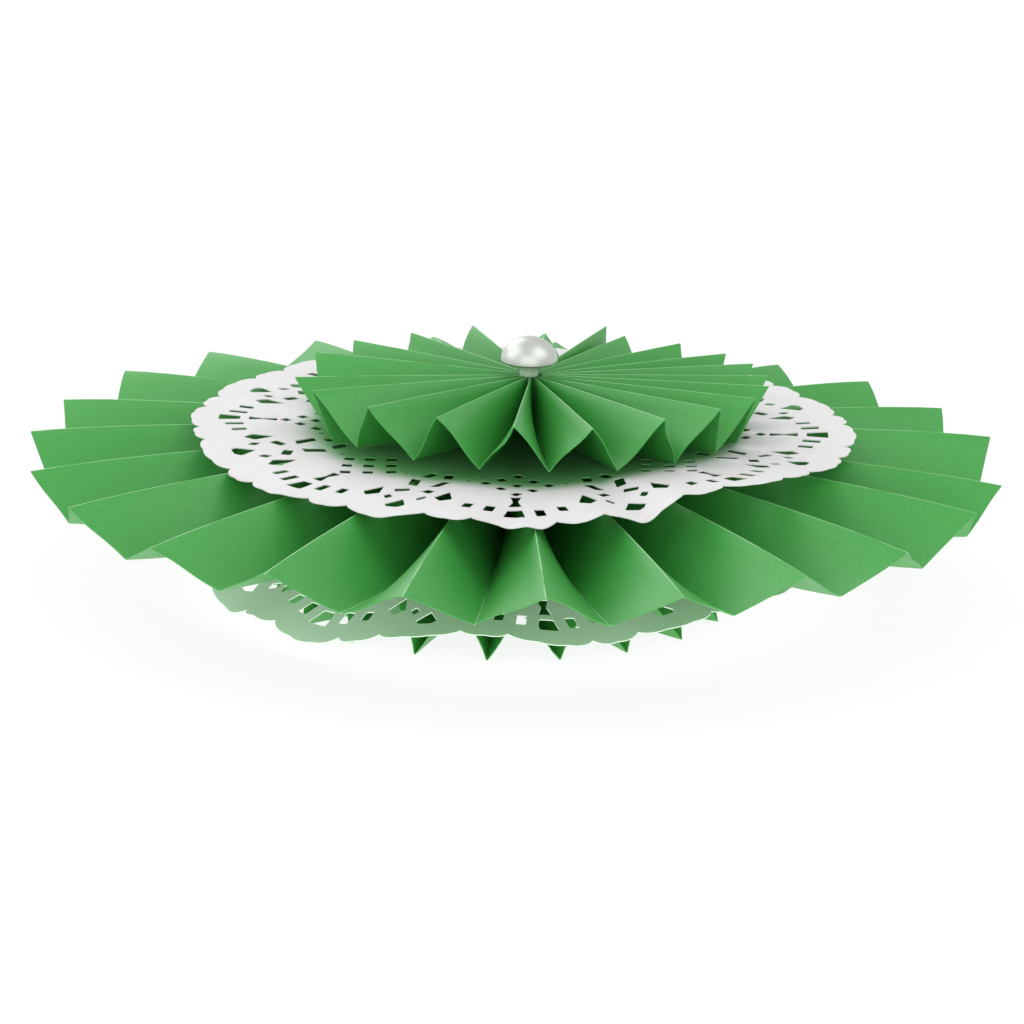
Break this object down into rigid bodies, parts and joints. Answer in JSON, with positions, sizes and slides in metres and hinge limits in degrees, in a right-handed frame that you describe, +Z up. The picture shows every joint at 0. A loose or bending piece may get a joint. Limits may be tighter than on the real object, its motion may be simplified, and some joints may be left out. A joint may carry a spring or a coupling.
{
  "type": "paper fan medallion",
  "caption": "Tiered round rosette of pleated green paper fans and white paper lace doilies, with a half pearl on a glue stem at its centre.",
  "frame": {"origin": "on the table under the middle of the large fan, level with the lowest fold tips of the lower fan", "axes": "+Z up, through the stacked fans towards the half pearl; -Y is the front of the pictured view"},
  "size_m": [0.1991, 0.1994, 0.0526],
  "materials": {
    "green_paper": "matt dyed craft paper",
    "lace_paper": "white embossed paper",
    "hot_glue": "cloudy hot-melt glue",
    "pearl": "pearlescent coating"
  },
  "bodies": {
    "root": {"lower_fan": "green_paper", "lower_glue": "hot_glue", "lower_doily": "lace_paper", "main_fan": "green_paper", "main_glue": "hot_glue", "upper_doily": "lace_paper", "upper_fan": "green_paper", "upper_glue": "hot_glue", "half_pearl": "pearl"}
  },
  "joints": []
}
